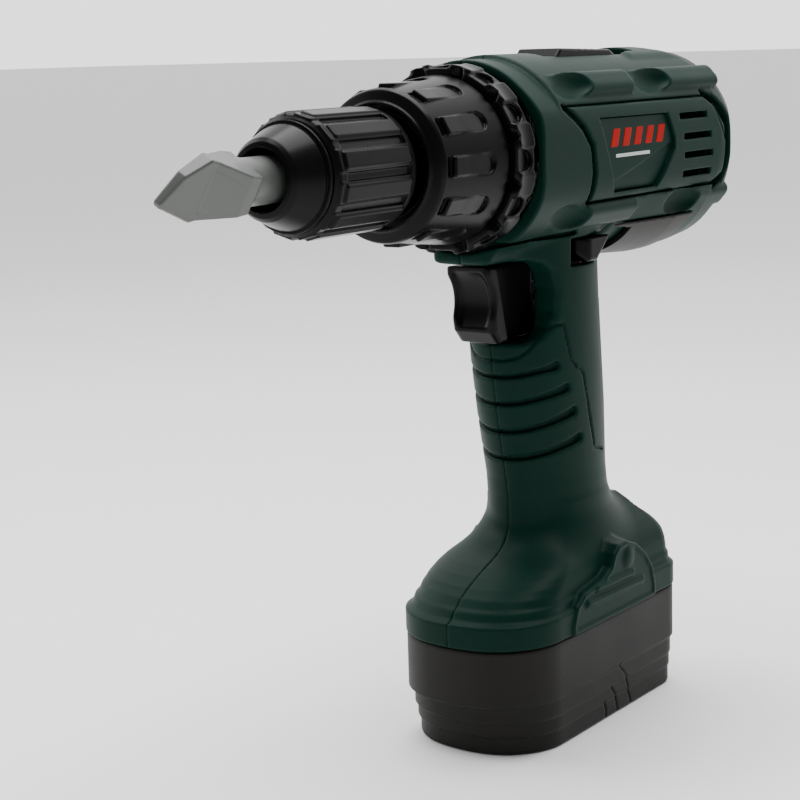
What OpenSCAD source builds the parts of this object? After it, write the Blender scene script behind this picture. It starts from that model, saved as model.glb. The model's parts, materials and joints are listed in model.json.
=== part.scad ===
// Toy cordless drill, built as separate pieces around one spindle axis.
// Millimetres. +Z is up, -X is forward (the bit), -Y is the drill's left side.
// The origin is the centre of the flat underside that the drill stands on.

/* [Body] */
// Height of the spindle axis above the table
spindle_z = 175.5; // [175:0.5:177]
// Radius of the motor housing
barrel_r = 28.7; // [28.5:0.1:29.2]
// Half width of the flattened sides of the motor housing
barrel_half_w = 27; // [26.8:0.1:27.4]
// Front face of the motor housing
barrel_front = -38; // [-39:0.5:-37.5]
// Rear end of the motor housing
barrel_rear = 91; // [90:0.5:92]
// Wall of the housing halves
wall = 2.5; // [2.2:0.1:2.6]

/* [Chuck and collar] */
// Front edge of the nose cone
nose_front = -128.6; // [-129.5:0.1:-128]
// Front face of the ribbed sleeve
sleeve_front = -117.4; // [-118:0.1:-117]
// Rear face of the ribbed sleeve
sleeve_rear = -86.9; // [-87.5:0.1:-86]
// Radius of the sleeve between its ribs
sleeve_r = 15.3; // [15:0.1:15.6]
// Ribs on the sleeve
sleeve_ribs = 12; // [10:1:14]
// Front rim of the torque collar
collar_front = -80.2; // [-81:0.1:-79.5]
// Rear face of the torque collar
collar_rear = -50.2; // [-50.6:0.1:-50.2]
// Radius of the collar at its front rim
collar_front_r = 20.5; // [20:0.1:21]
// Radius of the collar at its rear face
collar_rear_r = 23.8; // [23.4:0.1:24.2]
// Grip tongues around the collar
collar_tongues = 12; // [10:1:14]

/* [Bit] */
// Front edge of the bit
bit_front = -165; // [-168:0.5:-163]
// Radius of the bit's round shank
bit_r = 6.1; // [5.8:0.1:6.2]
// Width of the bit's square tail
tail_w = 8; // [7.6:0.1:8.1]

/* [Gear train] */
// Gear module
gear_module = 0.5; // [0.5:0.5:0.5]
// Teeth of the motor pinion
pinion_teeth = 10; // [10:1:10]
// Teeth of the wheel that the pinion drives
first_wheel_teeth = 36; // [36:1:36]
// Teeth of the small pinions of both counter gears
small_teeth = 12; // [12:1:12]
// Teeth of the second wheel and of the output wheel
large_teeth = 34; // [34:1:34]

/* [Battery pack] */
// Height of the battery pack
pack_h = 33; // [32:0.5:34]
// Half width of the battery pack at its top band
pack_half_w = 25.5; // [25.3:0.1:26]
// Length of an AA cell over its button
cell_l = 50.5; // [49.5:0.5:50.5]
// Radius of an AA cell
cell_r = 7.2; // [7:0.1:7.25]

/* [Controls] */
// Trigger travel
trigger_travel = 5; // [3:0.5:5]
// Half width of the trigger
trigger_half_w = 7.5; // [7:0.1:7.6]
// Travel of the direction button each way
direction_travel = 2.5; // [1.5:0.5:2.5]
// Travel of the speed switch
speed_travel = 8; // [5:1:8]

/* [Hidden] */
$fn = 64;
SMOOTH = 32;
EPS = 0.01;

GREEN = [0.04, 0.20, 0.15];
BLACK = [0.05, 0.05, 0.055];
CHARCOAL = [0.13, 0.125, 0.12];
PAD_GREY = [0.18, 0.18, 0.18];
BIT_GREY = [0.55, 0.56, 0.56];
STEEL = [0.70, 0.71, 0.73];
NYLON = [0.90, 0.89, 0.84];
BRASS = [0.78, 0.62, 0.30];
RED = [0.55, 0.06, 0.05];

// Motor housing
taper_x = 76;
round_x = 85;
round_r = 26.8;
rear_r = 20.5;
belly_drop = 8;
belly_r = 27;
belly_front = 12;
front_wall = 3.8;
spigot_r = 22;
flange_r = 24.3;
ring_front = -49.8;
ring_floor_r = 25.2;
lug_r = 26.8;
lug_count = 12;
neck_r = 17;
neck_front = -76;
hump_half_w = 12;
hump_top = 205;
hump_profile = [[44, 190], [44, 206], [58, 206], [82, 197.5], [84, 190]];
ridge_r = 4.6;
ridge_reach = 26.3;
ridge_angle = 40;
ridge_spans_top = [[-8, 19], [44, 73]];
ridge_spans_low = [[-12, 20], [51, 79]];

// Handle sections: height, centre, half length and half width
handle_sections = [
    [151, -3.5, 25, 18.6], [130, -1.5, 25, 18], [113, 0.1, 25.4, 17.6], [97, 2.2, 25.2, 17.1],
    [77, 4.7, 23.3, 16.5], [61, 7.5, 28, 17.6]
];
// Foot slices above the straight band: height, inset and how far the front is set back
foot_slices = [[42.9, 0.6, 2], [50, 3, 12], [55, 9, 20]];
foot_band_top = 43;
arc_x = -7.5;
front_arc_r = 44.6;
front_corner_r = 21.9;
rear_corner_r = 11;
corner_x = arc_x - sqrt(pow(front_arc_r - front_corner_r, 2) - pow(pack_half_w - front_corner_r, 2));
pack_rear = 48.4;

// Trigger well
well_rear = -13.5;
well_low = 120;
well_high = 144.4;
well_corner_r = 7;
liner = 2.2;
slot_half_w = trigger_half_w + 0.4;
spring_z = 131;

// Gear train
pressure_angle = 25;
backlash = 0.07;
centre_distance = gear_module * (pinion_teeth + first_wheel_teeth) / 2;
counter_z = spindle_z - centre_distance;
output_x = 10;
middle_x = 15;
pinion_x = 20;
face_w = 4;
pin_r = 1.5;
pin_bore_r = 1.55;
spindle_r = 4;
motor_shaft_r = 1;
case_front = 6;
plate_front = 25;
plate_rear = 27;
upper_cavity_r = 10;
lower_cavity_r = 9.6;
case_wall = 2;
ear_places = [[12.4, 177.5], [-12.4, 177.5], [12.4, 162], [-12.4, 162]];
ear_r = 2.4;
ear_screw_r = 0.9;

// Motor
motor_front = plate_rear;
motor_rear = 52.5;
motor_r = 10.05;
motor_half_h = 7.55;
endcap_rear = 56.5;

// Housing screws: x, z, length of the bosses, depth of the head
screw_places = [
    [-24, 196.5, 14.5, 9], [68, 195.5, 16, 9], [66, 157, 22.6, 10], [-24, 155, 15.5, 9],
    [15, 111, 11.8, 7], [8, 76, 15.4, 7], [-33, 38.5, 23.6, 12], [37, 38.5, 24, 12]
];
screw_r = 1.3;
screw_head_r = 2.6;
boss_r = 3.4;
screw_left_reach = 9;

// Panels on the housing's sides
panel_outline = [
    [-24.5, 188.8], [-15.7, 182.9], [-11, 177.4], [-9.7, 169.9], [-10.7, 161], [67.3, 161],
    [74.6, 164], [75.4, 174], [66.8, 185.9], [61.6, 188.8]
];
label_outline = [[-6.6, 185.2], [35.6, 184.9], [39.6, 177.4], [39.8, 173.8], [30.1, 162.7], [3.1, 162.7]];
vent_slots = [[43.1, 61.7, 183.4], [45.9, 64.5, 177], [46.2, 65.7, 171.1], [45.9, 65, 165.3]];
vent_h = 2;
panel_depth = 1.3;
label_depth = 0.4;

// Battery bay
bay_mid = 8;
bay_half_l = 31;
bay_half_w = 21.9;
bay_top = 18.4;
door_t = 2;
door_front = -28;
door_rear = 40.5;
door_half_w = 22.2;
door_screw_x = -25.6;
cell_pitch = 14.5;
cell_z = 10.2;

// Circle of radius r along X, from x0 to x1, about the line y, z
module rod_x(r, x0, x1, y = 0, z = spindle_z) {
    translate([x0, y, z]) rotate([0, 90, 0]) cylinder(r = r, h = x1 - x0);
}

// Cone along X about the spindle axis
module cone_x(r0, r1, x0, x1) {
    translate([x0, 0, spindle_z]) rotate([0, 90, 0]) cylinder(r1 = r0, r2 = r1, h = x1 - x0);
}

// Circle of radius r along Y, from y0 to y1, at x, z
module rod_y(r, y0, y1, x, z) {
    translate([x, y1, z]) rotate([90, 0, 0]) cylinder(r = r, h = y1 - y0);
}

// Box from its lowest to its highest corner
module block(low, high) {
    translate(low) cube(high - low);
}

// Turns a profile drawn as [x, radius] about the spindle axis
module turned(profile) {
    translate([0, 0, spindle_z]) rotate([0, 90, 0]) rotate_extrude()
        polygon([for (p = profile) [p[1], p[0]]]);
}

// Side profile drawn as [x, z], extruded from y0 to y1
module side_plate(y0, y1) {
    translate([0, y1, 0]) rotate([90, 0, 0]) linear_extrude(y1 - y0) children();
}

// Repeats a child about the spindle axis
module around_spindle(count, first = 0) {
    for (i = [0 : count - 1])
        translate([0, 0, spindle_z]) rotate([first + 360 * i / count, 0, 0]) children();
}

// ---------------------------------------------------------------- tubes along a path

function unit(v) = v / norm(v);
function heading(path, i) = unit(path[min(i + 1, len(path) - 1)] - path[max(i - 1, 0)]);

// Smooth curve through the points p, with so many steps between two of them
function smooth_path(p, steps) = [
    for (i = [0 : len(p) - 2], step = [0 : steps - 1])
        let (t = step / steps, a = p[max(i - 1, 0)], b = p[i], c = p[i + 1])
        let (d = p[min(i + 2, len(p) - 1)])
        (2 * b + (c - a) * t + (2 * a - 5 * b + 4 * c - d) * t * t
            + (3 * b - a - 3 * c + d) * t * t * t) / 2,
    p[len(p) - 1]
];

// Round tube of radius r; the direction across is never parallel to the path
module tube(path, r, sides, across) {
    last = len(path) - 1;
    points = [
        for (i = [0 : last])
            let (t = heading(path, i), u = unit(cross(t, across)), v = cross(t, u))
            for (k = [0 : sides - 1])
                path[i] + r * (u * cos(360 * k / sides) + v * sin(360 * k / sides))
    ];
    walls = [
        for (i = [0 : last - 1], k = [0 : sides - 1])
            let (n = (k + 1) % sides, a = i * sides, b = (i + 1) * sides)
            each [[a + k, b + k, b + n], [a + k, b + n, a + n]]
    ];
    caps = [
        [for (k = [0 : sides - 1]) k],
        [for (k = [sides - 1 : -1 : 0]) last * sides + k]
    ];
    polyhedron(points, concat(walls, caps), convexity = 8);
}

// ---------------------------------------------------------------- gears

function involute_angle(base_r, r) = sqrt(pow(r / base_r, 2) - 1) * 180 / PI - acos(base_r / r);
function on_circle(r, angle) = [r * cos(angle), r * sin(angle)];

// Spur gear outline with involute flanks, one tooth centred on angle phase
module gear_outline(teeth, phase) {
    pitch_r = gear_module * teeth / 2;
    base_r = pitch_r * cos(pressure_angle);
    tip_r = pitch_r + 0.8 * gear_module;
    root_r = pitch_r - 1.1 * gear_module;
    start_r = max(base_r + EPS, root_r);
    half_pitch = 90 / teeth - backlash / pitch_r * 90 / PI;
    flank = [for (r = [start_r, (start_r + pitch_r) / 2, pitch_r, tip_r])
        [r, half_pitch + involute_angle(base_r, pitch_r) - involute_angle(base_r, r)]];
    steps = len(flank) - 1;
    polygon([
        for (i = [0 : teeth - 1])
            let (mid = phase + 360 * i / teeth)
            each concat(
                [on_circle(root_r, mid - flank[0][1] - 1)],
                [for (k = [0 : steps]) on_circle(flank[k][0], mid - flank[k][1])],
                [for (k = [steps : -1 : 0]) on_circle(flank[k][0], mid + flank[k][1])],
                [on_circle(root_r, mid + flank[0][1] + 1)]
            )
    ]);
}

// Gear with a round bore; a gear on the lower axis has a gap facing up
module gear(teeth, x, z, bore_r) {
    phase = z == spindle_z ? 0 : 180 + 180 / teeth;
    translate([x, 0, z]) rotate([0, 90, 0]) linear_extrude(face_w) difference() {
        gear_outline(teeth, phase);
        circle(r = bore_r);
    }
}

// Two gears on one hub
module compound_gear(teeth_0, x_0, teeth_1, x_1, z) {
    gear(teeth_0, x_0, z, pin_bore_r);
    gear(teeth_1, x_1, z, pin_bore_r);
    difference() {
        rod_x(2.3, x_0 + face_w - EPS, x_1 + EPS, 0, z);
        rod_x(pin_bore_r, x_0, x_1 + face_w, 0, z);
    }
}

module motor_pinion() {
    color(BRASS) gear(pinion_teeth, pinion_x, counter_z, motor_shaft_r);
}

module counter_gear_1() {
    color(NYLON) compound_gear(small_teeth, middle_x, first_wheel_teeth, pinion_x, spindle_z);
}

module counter_gear_2() {
    color(NYLON) compound_gear(small_teeth, output_x, large_teeth, middle_x, counter_z);
}

module output_gear() {
    color(NYLON) gear(large_teeth, output_x, spindle_z, spindle_r);
}

// Pins that the two counter gears turn on
module gear_axles() {
    color(STEEL) {
        rod_x(pin_r, middle_x, plate_rear, 0, spindle_z);
        rod_x(pin_r, case_front, middle_x + face_w + 0.4, 0, counter_z);
    }
}

// ---------------------------------------------------------------- gearbox

module gearbox_outline() {
    translate([-spindle_z, 0]) circle(r = upper_cavity_r + case_wall);
    translate([-counter_z, 0]) circle(r = lower_cavity_r + case_wall);
    translate([-spindle_z, -10]) square([centre_distance, 20]);
    for (place = ear_places) translate([-place[1], place[0]]) circle(r = ear_r);
}

module gearbox_case() {
    color(NYLON) difference() {
        translate([case_front, 0, 0]) rotate([0, 90, 0]) linear_extrude(plate_front - case_front)
            gearbox_outline();
        rod_x(upper_cavity_r, case_front + 2.5, plate_front + 1, 0, spindle_z);
        rod_x(lower_cavity_r, case_front + 2.5, plate_front + 1, 0, counter_z);
        rod_x(spindle_r + 0.05, case_front - 1, case_front + 3, 0, spindle_z);
        rod_x(pin_r, case_front - 1, case_front + 3, 0, counter_z);
        for (place = ear_places)
            rod_x(ear_screw_r, case_front + 6, plate_front + 1, place[0], place[1]);
    }
}

module gearbox_plate() {
    color(NYLON) difference() {
        translate([plate_front, 0, 0]) rotate([0, 90, 0]) linear_extrude(plate_rear - plate_front)
            gearbox_outline();
        rod_x(pin_r, plate_front - 1, plate_rear + 1, 0, spindle_z);
        rod_x(3.4, plate_front - 1, plate_rear + 1, 0, counter_z);
        for (place = ear_places)
            rod_x(ear_screw_r, plate_front - 1, plate_rear + 1, place[0], place[1]);
    }
}

module gearbox_screws() {
    color(STEEL) for (place = ear_places) difference() {
        union() {
            rod_x(ear_screw_r, case_front + 9, plate_rear + EPS, place[0], place[1]);
            rod_x(1.8, plate_rear, plate_rear + 1.2, place[0], place[1]);
        }
        translate([plate_rear + 1.2, place[0], place[1]]) cube([1.4, 0.5, 2], center = true);
        translate([plate_rear + 1.2, place[0], place[1]]) cube([1.4, 2, 0.5], center = true);
    }
}

// ---------------------------------------------------------------- motor

// Round can with two flats, along X
module flattened_rod(r, half_h, x0, x1) {
    intersection() {
        rod_x(r, x0, x1, 0, counter_z);
        block([x0, -r, counter_z - half_h], [x1, r, counter_z + half_h]);
    }
}

module motor_can() {
    color(STEEL) difference() {
        flattened_rod(motor_r, motor_half_h, motor_front, motor_rear);
        flattened_rod(9.3, 6.9, motor_front + 1, motor_rear + 1);
        rod_x(motor_shaft_r + 0.05, motor_front - 1, motor_front + 2, 0, counter_z);
    }
}

module motor_magnets() {
    color(CHARCOAL) for (side = [-1, 1]) difference() {
        intersection() {
            flattened_rod(9.3, 6.9, motor_front + 3, motor_rear - 6);
            translate([0, side * 6.5, 0])
                block([motor_front, -4, counter_z - 8], [motor_rear, 4, counter_z + 8]);
        }
        rod_x(7.2, motor_front, motor_rear, 0, counter_z);
    }
}

module motor_endcap() {
    color(CHARCOAL) difference() {
        union() {
            flattened_rod(motor_r, motor_half_h, motor_rear, endcap_rear - 1);
            rod_x(3, endcap_rear - 1 - EPS, endcap_rear, 0, counter_z);
        }
        rod_x(motor_shaft_r + 0.05, motor_rear - 1, endcap_rear + 1, 0, counter_z);
        for (side = [-1, 1]) rod_x(0.7, motor_rear + 1, endcap_rear, side * 7, counter_z);
    }
}

module motor_rotor() {
    color(BRASS) {
        rod_x(motor_shaft_r, pinion_x, endcap_rear + 0.8, 0, counter_z);
        difference() {
            rod_x(6.6, motor_front + 5, motor_rear - 8, 0, counter_z);
            for (i = [0 : 2]) translate([0, 0, counter_z]) rotate([60 + 120 * i, 0, 0])
                block([motor_front, -0.6, 3], [motor_rear, 0.6, 8]);
        }
        rod_x(2.4, motor_rear - 6, motor_rear - 0.6, 0, counter_z);
    }
}

// ---------------------------------------------------------------- spindle, chuck and bit

module spindle_shaft() {
    hub_r = 9.5;
    socket_w = tail_w + 0.4;
    color(STEEL) difference() {
        union() {
            rod_x(spindle_r, sleeve_rear, output_x + face_w + 0.4);
            rod_x(hub_r, sleeve_front - 0.4, sleeve_rear + 3);
        }
        rod_x(bit_r + 0.3, sleeve_front - 1, sleeve_front + 5);
        translate([0, 0, spindle_z]) block(
            [sleeve_front - 1, -socket_w / 2, -socket_w / 2],
            [sleeve_front + 21.8, socket_w / 2, socket_w / 2]);
    }
}

module chuck_nose() {
    color(BLACK) turned([
        [nose_front, 7.6], [nose_front, 9.4], [nose_front + 0.8, 10.3], [-118.9, 13.6],
        [-118.9, 14.6], [sleeve_front - 0.4, 14.6], [sleeve_front - 0.4, bit_r + 0.3],
        [nose_front + 2, bit_r + 0.3]
    ]);
}

module chuck_sleeve() {
    rib_r = 16.6;
    rib_w = 4.6;
    color(BLACK) difference() {
        union() {
            cone_x(sleeve_r - 0.5, sleeve_r, sleeve_front, sleeve_front + 3);
            cone_x(sleeve_r, sleeve_r, sleeve_front + 3 - EPS, sleeve_rear - 3 + EPS);
            cone_x(sleeve_r + 1, sleeve_r + 1, sleeve_rear - 3, sleeve_rear);
            intersection() {
                rod_x(rib_r, sleeve_front + 1.2, sleeve_rear - 0.5);
                around_spindle(sleeve_ribs)
                    block([sleeve_front, -rib_w / 2, 12], [sleeve_rear, rib_w / 2, 18]);
            }
        }
        rod_x(9.5, sleeve_front - 1, sleeve_rear + 1);
    }
}

// Flat spear-shaped head with one bevelled wing on each face
module bit_head() {
    half_w = 8.8;
    half_t = 3.8;
    intersection() {
        translate([0, 0, -12]) linear_extrude(24) polygon([
            [bit_front, -3.6], [bit_front, 3.6], [bit_front + 1.2, 4.8], [bit_front + 12, half_w],
            [bit_front + 24, 5.6], [bit_front + 27, 5.6], [bit_front + 27, -5.6],
            [bit_front + 24, -5.6], [bit_front + 12, -half_w], [bit_front + 1.2, -4.8]
        ]);
        translate([bit_front - 1, 0, 0]) rotate([90, 0, 90]) linear_extrude(30) polygon([
            [-half_w, half_t], [0, half_t], [half_w, -1.6], [half_w, -half_t], [0, -half_t],
            [-half_w, 1.6]
        ]);
    }
}

module bit() {
    shank_front = bit_front + 24;
    tail_front = sleeve_front + 4.6;
    color(BIT_GREY) {
        translate([0, 0, spindle_z]) rotate([-59, 0, 0]) bit_head();
        rod_x(bit_r, shank_front, tail_front);
        translate([0, 0, spindle_z]) block(
            [tail_front - EPS, -tail_w / 2, -tail_w / 2],
            [tail_front + 16, tail_w / 2, tail_w / 2]);
    }
}

// Bearing for the spindle, pressed into the ring
module spindle_bush() {
    color(BRASS) turned([
        [-49, spindle_r + 0.05], [-49, 8.2], [-48, 8.2], [-48, 7], [-40, 7],
        [-40, spindle_r + 0.05]
    ]);
}

// ---------------------------------------------------------------- collar and ring

module torque_collar() {
    tongue_w = 5.3;
    tongue_top = 22.3;
    detent_r = 1.1;
    color(BLACK) difference() {
        union() {
            turned([
                [collar_front, 18.6], [collar_front, collar_front_r - 0.8],
                [collar_front + 0.8, collar_front_r], [collar_rear, collar_rear_r],
                [collar_rear, 21.4], [collar_rear - 2, 21.4], [collar_rear - 2, neck_r + 0.1],
                [neck_front + 0.5, neck_r + 0.1], [neck_front + 0.5, 18.6]
            ]);
            around_spindle(collar_tongues)
                block([-74.4, -tongue_w / 2, 19], [-57, tongue_w / 2, tongue_top]);
        }
        around_spindle(2 * collar_tongues) translate([collar_rear - 2, 0, 19.3])
            rotate([0, 90, 0]) cylinder(r = detent_r, h = 1.6, center = true);
    }
}

// Fixed castellated ring that carries the collar and the spindle bush
module gearbox_ring() {
    lug_w = 7;
    color(BLACK) difference() {
        union() {
            turned([
                [neck_front - 1, 14.2], [neck_front - 1, neck_r + 0.5], [neck_front, neck_r + 0.5],
                [neck_front, neck_r], [ring_front, neck_r], [ring_front, ring_floor_r],
                [barrel_front - 1.6, ring_floor_r], [barrel_front - 1.6, spigot_r],
                [barrel_front + front_wall + 0.1, spigot_r], [barrel_front + front_wall + 0.1, flange_r],
                [barrel_front + 6, flange_r], [barrel_front + 6, 19], [-40, 19], [-40, 7], [-48, 7],
                [-48, 14.2]
            ]);
            intersection() {
                rod_x(lug_r, ring_front, -41.5);
                around_spindle(lug_count)
                    block([ring_front, -lug_w / 2, 23], [-41.5, lug_w / 2, 29]);
            }
        }
        block([ring_front - 0.2, -2.2, spindle_z + 18.2], [-47.6, 2.2, spindle_z + 20.6]);
    }
}

// Bent leaf that clicks over the pockets inside the collar
module click_spring() {
    base = spindle_z + 19.4;
    color(STEEL) side_plate(-2, 2) polygon([
        [-47.7, base - 1.1], [-48.1, base - 1.1], [-50.6, base - 0.8], [-51.9, base],
        [-50.6, base + 0.8], [-48.1, base + 1.1], [-47.7, base + 1.1], [-48, base + 0.8],
        [-50.4, base + 0.5], [-51.4, base], [-50.4, base - 0.5], [-48, base - 0.8]
    ]);
}

// ---------------------------------------------------------------- housing

module ellipse_slice(section, inset) {
    translate([section[1], 0, section[0]])
        scale([(section[2] - inset) / (section[3] - inset), 1, 1])
            cylinder(r = section[3] - inset, h = 0.1, $fn = SMOOTH);
}

module barrel_solid(inset, front) {
    intersection() {
        turned([
            [front, 0], [front, barrel_r - inset], [taper_x, barrel_r - inset],
            [round_x, round_r - inset], [barrel_rear - inset, rear_r - inset],
            [barrel_rear - inset, 0]
        ]);
        block([front - 1, inset - barrel_half_w, spindle_z - 40],
            [barrel_rear + 1, barrel_half_w - inset, spindle_z + 40]);
    }
}

// Fuller underside of the rear of the motor housing, about a lower axis
module belly_solid(inset) {
    translate([0, 0, -belly_drop]) turned([
        [belly_front + inset, 0], [belly_front + inset, belly_r - inset],
        [taper_x - 10, belly_r - inset], [round_x - 2, belly_r - 2.6 - inset],
        [barrel_rear - inset, belly_r - 8 - inset], [barrel_rear - inset, 0]
    ]);
}

module handle_solid(inset) {
    hull() for (section = handle_sections) ellipse_slice(section, inset);
}

// Plan of the battery pack and foot: bowed front, round corners
module plan_outline(inset, setback = 0) {
    corner_y = pack_half_w - front_corner_r;
    rear_y = pack_half_w - rear_corner_r;
    slope = corner_y / (arc_x - corner_x);
    translate([setback, 0]) intersection() {
        translate([arc_x, 0]) circle(r = front_arc_r - inset);
        polygon([[arc_x, 0], [arc_x - 60, -60 * slope], [arc_x - 60, 60 * slope]]);
    }
    for (side = [-1, 1]) {
        translate([corner_x + setback, side * corner_y]) circle(r = front_corner_r - inset);
        translate([pack_rear - rear_corner_r, side * rear_y]) circle(r = rear_corner_r - inset);
    }
    translate([corner_x + setback, inset - pack_half_w])
        square([pack_rear - rear_corner_r - corner_x - setback, 2 * (pack_half_w - inset)]);
    translate([0, -rear_y]) square([pack_rear - inset, 2 * rear_y]);
}

module foot_solid(inset, low) {
    translate([0, 0, low]) linear_extrude(foot_band_top - low) plan_outline(inset);
    hull() {
        for (slice = foot_slices) translate([0, 0, slice[0]]) linear_extrude(0.1)
            plan_outline(inset + slice[1], slice[2], $fn = SMOOTH);
        ellipse_slice(handle_sections[5], inset);
    }
}

// Outline of the opening that the trigger sits in, drawn as [x, z]
module well_outline(grow) {
    corner_x_w = well_rear - well_corner_r;
    translate([-70, well_low - grow]) square([70 + corner_x_w, well_high - well_low + 2 * grow]);
    translate([-70, well_low + well_corner_r])
        square([70 + well_rear + grow, well_high - well_low - 2 * well_corner_r]);
    for (z = [well_low + well_corner_r, well_high - well_corner_r])
        translate([corner_x_w, z]) circle(r = well_corner_r + grow);
}

module ridges() {
    for (side = [-1, 1]) {
        for (span = ridge_spans_top)
            rod_x(ridge_r, span[0], span[1], side * ridge_reach * cos(ridge_angle),
                spindle_z + ridge_reach * sin(ridge_angle));
        for (span = ridge_spans_low)
            rod_x(ridge_r, span[0], span[1], side * ridge_reach * cos(ridge_angle),
                spindle_z - ridge_reach * sin(ridge_angle));
    }
}

// Moulded catch relief on each side of the foot
module catch_relief(side) {
    face = pack_half_w + 1.3;
    low = min(side * face, side * (pack_half_w - 2));
    high = max(side * face, side * (pack_half_w - 2));
    side_plate(low, high) polygon([
        [-23.4, 38], [-20.5, 44.6], [-1.3, 47.6], [3.6, 52.4], [11, 53], [21, 47.6], [25.9, 38]
    ]);
}

// Forward lip under the collar
module chin() {
    difference() {
        block([-41, -9.5, well_high + 0.2], [-22, 9.5, spindle_z - 24]);
        rod_x(lug_r + 0.3, -46, barrel_front - 0.3);
    }
}

module housing_outside() {
    barrel_solid(0, barrel_front);
    belly_solid(0);
    handle_solid(0);
    foot_solid(0, pack_h + 0.2);
    ridges();
    chin();
    for (side = [-1, 1]) catch_relief(side);
    intersection() {
        rod_x(hump_top - spindle_z, 43, barrel_rear);
        side_plate(-hump_half_w, hump_half_w) polygon(hump_profile);
    }
}

module housing_inside() {
    barrel_solid(wall, barrel_front + front_wall);
    belly_solid(wall);
    difference() {
        handle_solid(wall);
        side_plate(-20, 20) well_outline(liner);
    }
    foot_solid(wall, pack_h - 1);
}

// Both halves as one shell, before it is split on the mid-plane
module housing_shell() {
    difference() {
        union() {
            difference() {
                housing_outside();
                housing_inside();
            }
            block([-7.4, -10, spindle_z + 22.6], [50, 10, spindle_z + 26.4]);
            for (place = screw_places) rod_y(boss_r, -place[2], place[2], place[0], place[1]);
        }
        side_plate(-30, 30) well_outline(0);
        block([well_rear - well_corner_r - 1, -slot_half_w, well_low + 0.2],
            [4, slot_half_w, well_high + 0.3]);
        rod_x(spigot_r + 0.05, barrel_front - 1, barrel_front + 6);
        block([-5.2, -8, spindle_z + 25.4], [47.5, 8, 210]);
        block([14, -2, spindle_z + 20], [33, 2, 210]);
        block([-8.5, -30, 141.9], [9.8, 30, 149.4]);
        for (side = [-1, 1])
            side_plate(side > 0 ? barrel_half_w - panel_depth : -barrel_half_w - 1,
                side > 0 ? barrel_half_w + 1 : panel_depth - barrel_half_w) polygon(panel_outline);
        for (slot = vent_slots)
            block([slot[0], -30, slot[2] - vent_h / 2], [slot[1], 30, slot[2] + vent_h / 2]);
        for (place = screw_places) {
            rod_y(screw_r, -screw_left_reach, place[3] + 1, place[0], place[1]);
            rod_y(screw_head_r + 0.2, place[3], 32, place[0], place[1]);
        }
    }
}

module housing_half(side) {
    intersection() {
        housing_shell();
        block([-100, side > 0 ? 0 : -60, 0], [120, side > 0 ? 60 : 0, 230]);
    }
}

module housing_left() {
    color(GREEN) housing_half(-1);
}

module housing_right() {
    color(GREEN) housing_half(1);
}

module housing_screws() {
    color(STEEL) for (place = screw_places) difference() {
        union() {
            rod_y(screw_r, 0.5 - screw_left_reach, place[3] + EPS, place[0], place[1]);
            rod_y(screw_head_r, place[3], place[3] + 1.8, place[0], place[1]);
        }
        translate([place[0], place[3] + 1.8, place[1]]) cube([0.8, 2, 3.2], center = true);
        translate([place[0], place[3] + 1.8, place[1]]) cube([3.2, 2, 0.8], center = true);
    }
}

// Insert with the vent slots; the label lies in a shallow recess in it
module vent_panel(side) {
    outer = barrel_half_w + 0.3;
    inner = barrel_half_w - panel_depth;
    difference() {
        side_plate(side > 0 ? inner : -outer, side > 0 ? outer : -inner) polygon(panel_outline);
        side_plate(side > 0 ? outer - label_depth : -outer - 1,
            side > 0 ? outer + 1 : label_depth - outer) polygon(label_outline);
        for (slot = vent_slots)
            block([slot[0], -30, slot[2] - vent_h / 2], [slot[1], 30, slot[2] + vent_h / 2]);
    }
}

module vent_panel_left() {
    color(GREEN) vent_panel(-1);
}

module vent_panel_right() {
    color(GREEN) vent_panel(1);
}

module label(side) {
    outer = barrel_half_w + 0.3;
    side_plate(side > 0 ? outer - label_depth : -outer, side > 0 ? outer : label_depth - outer)
        polygon(label_outline);
}

module label_left() {
    color(BLACK) label(-1);
}

module label_right() {
    color(BLACK) label(1);
}

// Soft pad around the underside of the motor housing and both sides of the handle
module palm_pad() {
    half_angle = 57;
    front = 13;
    handle_rear = 24;
    rear = 60;
    axis_z = spindle_z - belly_drop;
    color(PAD_GREY) intersection() {
        difference() {
            rod_x(belly_r + 1.4, front, rear, 0, axis_z);
            rod_x(belly_r, front - 1, rear + 1, 0, axis_z);
            block([front - 1, -19.4, axis_z - 40], [handle_rear, 19.4, axis_z]);
        }
        translate([front - 1, 0, axis_z]) rotate([90, 0, 90]) linear_extrude(rear - front + 2)
            polygon([[0, 0], [-40 * tan(half_angle), -40], [40 * tan(half_angle), -40]]);
    }
}

// ---------------------------------------------------------------- controls

module trigger() {
    color(BLACK) difference() {
        side_plate(-trigger_half_w, trigger_half_w) difference() {
            polygon([
                [-38, 144.1], [-38, 141], [-35, 124.5], [-31.6, 120.8], [-9, 120.8], [-9, 144.1]
            ]);
            translate([-45.2, 133.4]) circle(r = 10.4);
        }
        rod_x(4, -13, -8, 0, spring_z);
    }
}

// Compression spring between the trigger and its switch
module trigger_spring() {
    turns = 5;
    rings = 60;
    coil_r = 3;
    front = -12.4;
    back = 2.2;
    path = [
        for (i = [0 : rings])
            let (angle = 360 * turns * i / rings)
            [front + (back - front) * i / rings, coil_r * cos(angle), spring_z + coil_r * sin(angle)]
    ];
    color(STEEL) tube(path, 0.4, 6, [1, 0, 0]);
}

module trigger_switch() {
    color(CHARCOAL) difference() {
        block([2.8, -6, 125], [16, 6, 135]);
        block([4, -4, 133.8], [12, 4, 136]);
    }
    color(BRASS) for (side = [-1, 1]) block([10, side * 4 - 0.5, 121.5], [12, side * 4 + 0.5, 125 + EPS]);
}

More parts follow.
